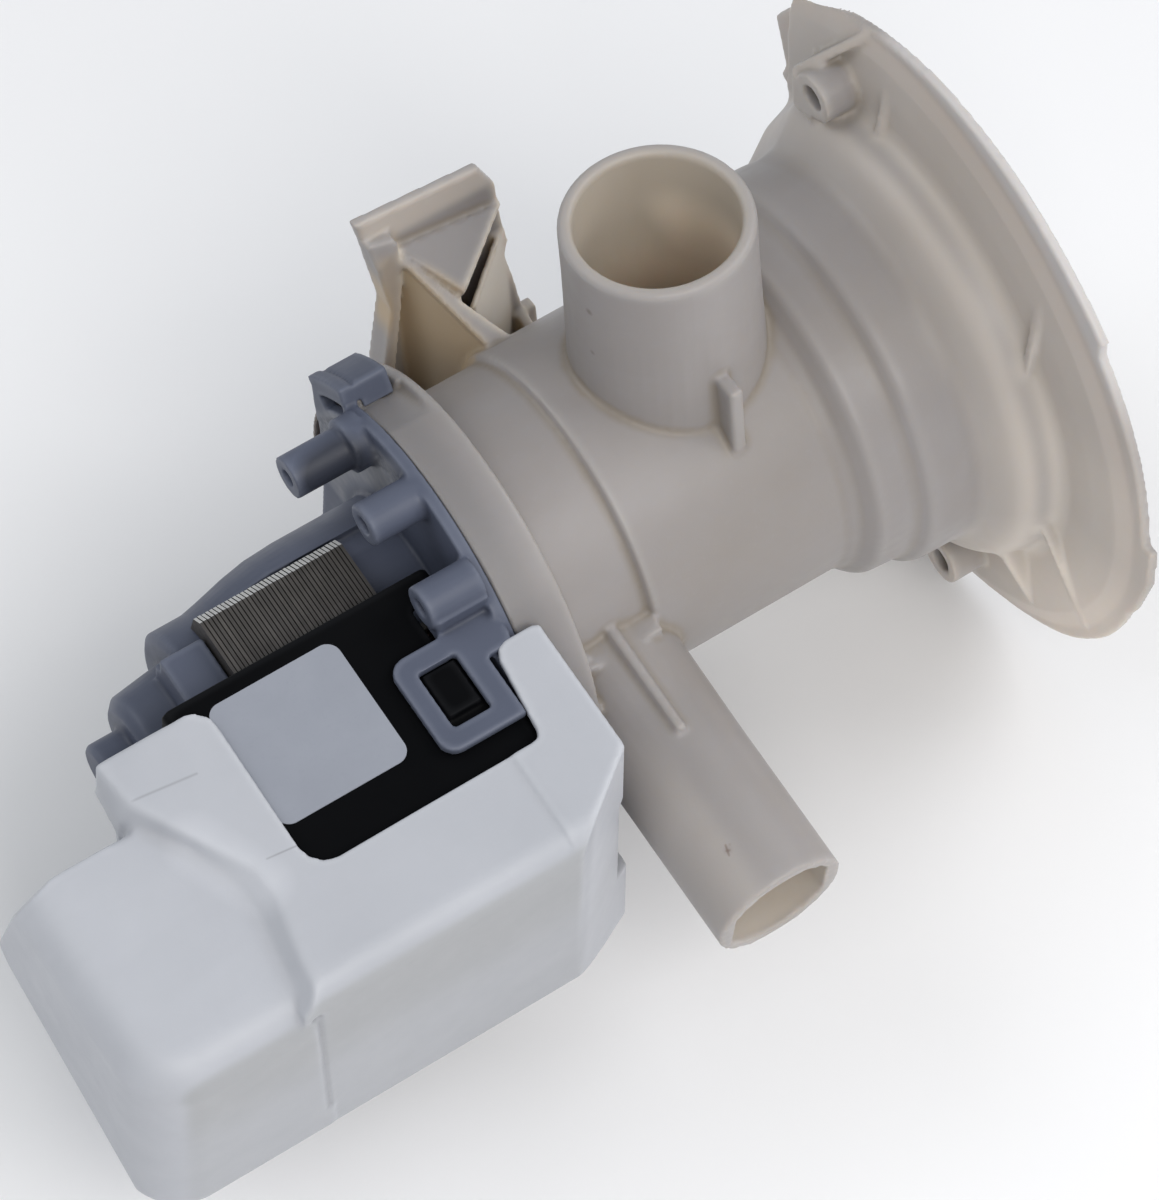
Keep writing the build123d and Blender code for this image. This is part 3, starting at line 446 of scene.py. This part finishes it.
def edge_and_crease_shade_attributes(me, e, deg, rounds=6, scale=0.00012):
    """paint convex edges and concave corners into two vertex attributes; the corner one drives painted shade"""
    p = get_co(me)
    q = p.copy()
    for _ in range(rounds):
        q = average(q, e, deg)
    n = vertex_normals(me)
    h = ((p - q) * n).sum(1)[:, None]
    for _ in range(3):
        h = average(h, e, deg)
    h = h[:, 0] / scale
    for name, val in (("edge", np.clip(h, 0, 1)), ("crease_shade", np.clip(-h, 0, 1))):
        a = me.attributes.new(name, "FLOAT", "POINT")
        a.data.foreach_set("value", val.astype(np.float32))


def paint(me, name, val):
    a = me.attributes.new(name, "FLOAT", "POINT")
    a.data.foreach_set("value", val.astype(np.float32))


def soft_copy(node, name, voxel, rounds, shape=None, softer=None, tint_light_and_shade_zones=None):
    """the node's solid remeshed on a fine grid, its edges rounded by volume-keeping smoothing"""
    src = frame["nodes"][node]
    me = src.data.copy()
    ob = bpy.data.objects.new(name, me)
    scene.collection.objects.link(ob)
    rm = ob.modifiers.new("grid", "REMESH")
    rm.mode = "VOXEL"
    rm.voxel_size = voxel * 1.0
    rm.adaptivity = 0.0
    dg = bpy.context.evaluated_depsgraph_get()
    new = bpy.data.meshes.new_from_object(ob.evaluated_get(dg))
    ob.modifiers.clear()
    ob.data = new
    e, deg = neighbours(new)
    lo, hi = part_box(node)
    p = get_co(new)
    for i in range(rounds):
        a = average(p, e, deg)
        p = p + 0.50 * (a - p)
        a = average(p, e, deg)
        p = p - 0.40 * (a - p)
    if softer is not None:
        where, more = softer
        w = 0.5 * where(p)[:, None]
        for i in range(more):
            p = p + w * (average(p, e, deg) - p)
    if shape is not None:
        p = shape(p)
    p = np.clip(p, np.array(lo), np.array(hi))
    set_co(new, p)
    new.update()
    for poly in new.polygons:
        poly.use_smooth = True
    new.materials.clear()
    new.materials.append(BY_NODE[node])
    edge_and_crease_shade_attributes(new, e, deg)
    # zones of painted light and shade, and real tints, become vertex attributes
    if tint_light_and_shade_zones is not None:
        for zone, val in tint_light_and_shade_zones(get_co(new), vertex_normals(new)).items():
            val = np.asarray(val, float)[:, None]
            for _ in range(5):
                val = average(val, e, deg)
            paint(new, zone, np.clip(val[:, 0], 0, 1))
    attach(ob, src["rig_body"])
    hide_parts(node)
    return ob


def smooth_step(t):
    t = np.clip(t, 0.0, 1.0)
    return t * t * (3 - 2 * t)


def motor_coords(p):
    """x, u, v in metres"""
    return p[:, 0], -(p[:, 1] * CT + p[:, 2] * ST), -p[:, 1] * ST + p[:, 2] * CT


def funnel_zone(p):
    r = np.hypot(p[:, 1], p[:, 2])
    return smooth_step((p[:, 0] + 0.0250) / 0.004) * smooth_step((-0.0028 - p[:, 0]) / 0.001) * smooth_step((r - 0.0270) / 0.001) * (
        1 - smooth_step((r - 0.0385) / 0.001))


def valley_zone(p):
    x, u, v = motor_coords(p)
    return smooth_step((x + 0.1560) / 0.003) * smooth_step((-0.1365 - x) / 0.002) * smooth_step((v - 0.0170) / 0.003) * smooth_step(
        (0.0530 - u) / 0.003)


def crinkle(p):
    """rough band on the back of the flange plate, near the upper hook"""
    r = np.hypot(p[:, 1], p[:, 2])
    a = np.arctan2(p[:, 2], p[:, 1])
    zone = (smooth_step((r - 0.0262) / 0.0006) * smooth_step((0.0300 - r) / 0.0006) * (np.abs(p[:, 0] + 0.0920) < 0.0004)
            * smooth_step((a - 0.05) / 0.1) * smooth_step((1.75 - a) / 0.1))
    wob = np.sin(a * 95) * np.sin(r * 5200 + 2.0 * np.sin(a * 31)) + 0.6 * np.sin(a * 171 + r * 2600)
    p = p.copy()
    p[:, 0] += zone * (0.00010 * wob + 0.00012)
    return p


def bracket_zones(p, n):
    """the rough band on the back of the flange plate is paler than the plate"""
    r = np.hypot(p[:, 1], p[:, 2])
    a = np.arctan2(p[:, 2], p[:, 1])
    band = smooth_step((r - 0.0185) / 0.0015) * smooth_step((0.0312 - r) / 0.0008) * (np.abs(p[:, 0] + 0.0920) < 0.0006)
    patch = 0.62 + 0.22 * np.sin(a * 23) * np.sin(r * 2100) + 0.2 * np.sin(a * 61 + r * 900)
    return {"pale": band * patch * smooth_step((a - 0.05) / 0.1) * smooth_step((1.62 - a) / 0.12)}


def housing_zones(p, n):
    """painted light on the thin flange walls and lit faces, painted bounce light in the spigot bores, painted shade in
    the bracket pockets and on the shaded rear of the chamber
    """
    x, y, z = p[:, 0], p[:, 1], p[:, 2]
    mx, u, v = motor_coords(p)
    inlet = smooth_step((0.0136 - np.hypot(x + 0.046, y)) / 0.0010) * smooth_step((z - 0.010) / 0.004) * smooth_step((0.0550 - z) / 0.0020)
    outlet = smooth_step((0.0098 - np.hypot(x + 0.0738, v)) / 0.0008) * smooth_step((u - 0.030) / 0.01) * smooth_step((0.0688 - u) / 0.001)
    inside = ((x > -0.0752) & (x < -0.0470) & (y > 0.0200) & (y < 0.0375) & (z > -0.009)).astype(float)
    facing_left = smooth_step((-n[:, 0] - 0.3) / 0.3)
    outer_wall = smooth_step((-0.0735 - x) / 0.001) * facing_left
    edge = smooth_step((0.0345 - y) / 0.0006) * smooth_step((-n[:, 1] - 0.75) / 0.15)
    below = smooth_step((0.0320 - z) / 0.001)
    pocket = inside * below * facing_left * (1 - outer_wall)
    pocket = np.maximum(pocket, 0.4 * inside * below * edge * smooth_step((-0.070 - x) / 0.002))
    far_side = inside * below * smooth_step((n[:, 0] - 0.2) / 0.3) * 0.75
    slab = inside * smooth_step((y - 0.0348) / 0.0006) * smooth_step((z - 0.0312) / 0.001)
    thin = smooth_step((x + 0.0165) / 0.0100) * (0.72 + 0.24 * smooth_step((0.022 - z) / 0.014)) * smooth_step((-n[:, 0] - 0.15) / 0.4)
    thin = np.maximum(thin, slab * 0.90 * smooth_step((-n[:, 1] - 0.4) / 0.3))
    thin = np.maximum(thin, 0.4 * inside * smooth_step((0.0240 - z) / 0.002) * smooth_step((n[:, 2] - 0.8) / 0.1))
    thin = np.maximum(thin, 0.35 * smooth_step((-0.035 - y) / 0.02) * smooth_step((-0.060 - x) / 0.005) * smooth_step((-n[:, 0] - 0.2) / 0.3))
    shade = 0.95 * smooth_step((-0.0800 - x) / 0.0075)
    shade = np.maximum(shade, 0.35 * smooth_step((-0.032 - y) / 0.01) * smooth_step((-0.060 - x) / 0.005) * smooth_step((n[:, 2] - 0.75) / 0.15))
    shade = np.maximum(shade, 0.35 * inside * smooth_step((z - 0.0240) / 0.002) * smooth_step((n[:, 2] - 0.7) / 0.1) * (1 - slab))
    right = smooth_step((-n[:, 0] - 0.25) / 0.5) * (0.08 + 0.72 * smooth_step((0.0485 - z) / 0.009))
    deep = np.maximum.reduce([inlet * smooth_step((0.044 - z) / 0.018), inlet * right, 0.20 * outlet, far_side])
    return {"shade": shade, "thin": thin, "bore": np.maximum(inlet, outlet), "deep": deep, "pocket": pocket,
            "rim": smooth_step((np.hypot(y, z) - 0.0551) / 0.0006) * smooth_step((x + 0.004) / 0.001) * smooth_step((z - 0.020) / 0.015)}


def cover_zones(p, n):
    """painted shade makes the cover's upright front a little darker than its top; painted light lifts the valley's
    slopes and the faces near its end
    """
    front = smooth_step((-n[:, 1] - 0.87) / 0.08) * (0.45 + 0.55 * smooth_step((p[:, 2] + 0.018) / 0.02))
    lift = smooth_step((n[:, 0] - 0.12) / 0.3) * smooth_step((p[:, 0] + 0.158) / 0.002) * smooth_step((-0.134 - p[:, 0]) / 0.003)
    lift = lift * smooth_step((p[:, 2] - 0.012) / 0.004)
    end = 0.55 * smooth_step((p[:, 0] + 0.0980) / 0.002) * smooth_step((n[:, 0] - 0.25) / 0.15) * smooth_step((-n[:, 1] - 0.5) / 0.2)
    return {"front": front, "lift": np.maximum(lift, end)}


def hood_step(p):
    """parting step between the terminal hood and the cap, on the front face"""
    a, b = np.array((-0.1437, -0.0588, 0.0085)), np.array((-0.1415, -0.0516, -0.0265))
    d = b - a
    t = np.clip(((p - a) @ d) / (d @ d), 0, 1)[:, None]
    line = np.linalg.norm(p - (a + t * d), axis=1)
    pit = np.linalg.norm(p - np.array((-0.1440, -0.0586, 0.0090)), axis=1)
    p = p.copy()
    p[:, 1] += (p[:, 1] < -0.040) * (0.00050 * np.exp(-(line / 0.00050) ** 2) + 0.00070 * np.exp(-(pit / 0.00075) ** 2))
    return p


soft_copy("pump_housing", "housing_moulding", 0.00042, 5, softer=(funnel_zone, 14), tint_light_and_shade_zones=housing_zones)
soft_copy("motor_bracket", "bracket_moulding", 0.00032, 4, shape=crinkle, tint_light_and_shade_zones=bracket_zones)
soft_copy("terminal_cover", "cover_moulding", 0.00036, 12, shape=hood_step, softer=(valley_zone, 30), tint_light_and_shade_zones=cover_zones)
soft_copy("coil_cover", "coil_moulding", 0.00036, 3)


def laminate():
    """the stack as separate sheets with hairline gaps; the punched chamfer of the poles is bare cut steel, made bright
    with a painted highlight
    """
    src = frame["nodes"]["stator_core"]
    lo, hi = (np.array(q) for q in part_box("stator_core"))
    base = get_co(src.data)
    faces = [tuple(f.vertices) for f in src.data.polygons]
    slots = []
    for f in src.data.polygons:
        y, z = f.normal.y, f.normal.z
        nu, nv = -(y * CT + z * ST), -y * ST + z * CT
        slots.append(1 if nu < -0.5 and nv > 0.5 else 0)
    # the poles' chamfer is cut wide, and each sheet's corner is narrower than its body
    bu, bv = -(base[:, 1] * CT + base[:, 2] * ST), -base[:, 1] * ST + base[:, 2] * CT
    seeds = sorted({v for f, slot in zip(faces, slots) if slot for v in f})
    near = np.min(np.hypot(bu[:, None] - bu[None, seeds], bv[:, None] - bv[None, seeds]), axis=1)
    corner = np.where(near < 0.00002)[0]
    upper = corner[bv[corner] > 0.5 * (bv[seeds].min() + bv[seeds].max())]
    base[upper, 1] -= 0.0007 * CT
    base[upper, 2] -= 0.0007 * ST
    rng = np.random.default_rng(11)
    n = 37
    pitch = (hi[0] - lo[0]) / n
    verts, polys, mats = [], [], []
    for i in range(n):
        q = base.copy()
        t = (q[:, 0] - lo[0]) / (hi[0] - lo[0])
        q[:, 0] = lo[0] + pitch * (i + 0.04 + 0.92 * t)
        q[corner, 0] = lo[0] + pitch * (i + 0.13 + 0.74 * t[corner])
        dv, du = rng.uniform(-0.00005, 0.0), rng.uniform(-0.00003, 0.00003)
        q[:, 1] += -dv * ST - du * CT
        q[:, 2] += dv * CT - du * ST
        q = np.clip(q, lo, hi)
        k = i * len(base)
        verts.append(q)
        polys += [tuple(v + k for v in f) for f in faces]
        mats += slots
    me = bpy.data.meshes.new("core_sheets")
    me.from_pydata(np.concatenate(verts).tolist(), [], polys)
    me.materials.append(STEEL)
    me.materials.append(CUT_STEEL_HIGHLIGHT)
    me.polygons.foreach_set("material_index", mats)
    ob = bpy.data.objects.new("core_sheets", me)
    scene.collection.objects.link(ob)
    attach(ob, src["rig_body"])
    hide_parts("stator_core")


laminate()
for o in frame["nodes"].values():
    for poly in o.data.polygons:
        poly.use_smooth = True

# ------------------------------------------------------------------ floor and light
FLOOR_Z = -0.0548


def floor():
    k = Mat("floor_paper")
    c = k.ramp(k.noise(3.0, 3.0, 0.5), [(0.3, (0.86, 0.86, 0.87)), (0.7, (0.90, 0.90, 0.905))])
    k.plug(c, k.ranged(k.noise(20.0), 0.3, 0.7, 0.75, 0.9), k.bump(k.noise(600.0), 0.00002))
    me = bpy.data.meshes.new("floor")
    s = 6.0
    me.from_pydata([(-s, -s, FLOOR_Z), (s, -s, FLOOR_Z), (s, s, FLOOR_Z), (-s, s, FLOOR_Z)], [], [(0, 1, 2, 3)])
    ob = bpy.data.objects.new("floor", me)
    ob.data.materials.append(k.m)
    scene.collection.objects.link(ob)


floor()
world = bpy.data.worlds.new("studio")
scene.world = world
world.use_nodes = True
bg = world.node_tree.nodes["Background"]
bg.inputs["Color"].default_value = (0.925, 0.96, 1.0, 1)
bg.inputs["Strength"].default_value = 0.47


def area(name, at, to, size, power, color=(1, 1, 1)):
    d = bpy.data.lights.new(name, "AREA")
    d.shape = "RECTANGLE"
    d.size, d.size_y = size
    d.energy = power
    d.color = color
    o = bpy.data.objects.new(name, d)
    scene.collection.objects.link(o)
    o.location = Vector(at)
    o.rotation_mode = "QUATERNION"
    o.rotation_quaternion = (Vector(at) - Vector(to)).to_track_quat("Z", "Y")
    return o


C0 = (-0.085, -0.015, 0.0)
area("key", (-0.15, -0.95, 0.85), C0, (0.9, 0.7), 9.3, (1.0, 0.97, 0.935))
area("side", (0.75, -0.35, 0.75), C0, (0.7, 0.7), 4.6, (0.98, 0.98, 1.0))
area("back", (-0.7, 0.5, 0.9), C0, (0.8, 0.8), 3.5, (0.97, 0.98, 1.0))
scene.view_settings.view_transform = "Standard"
scene.view_settings.look = "None"
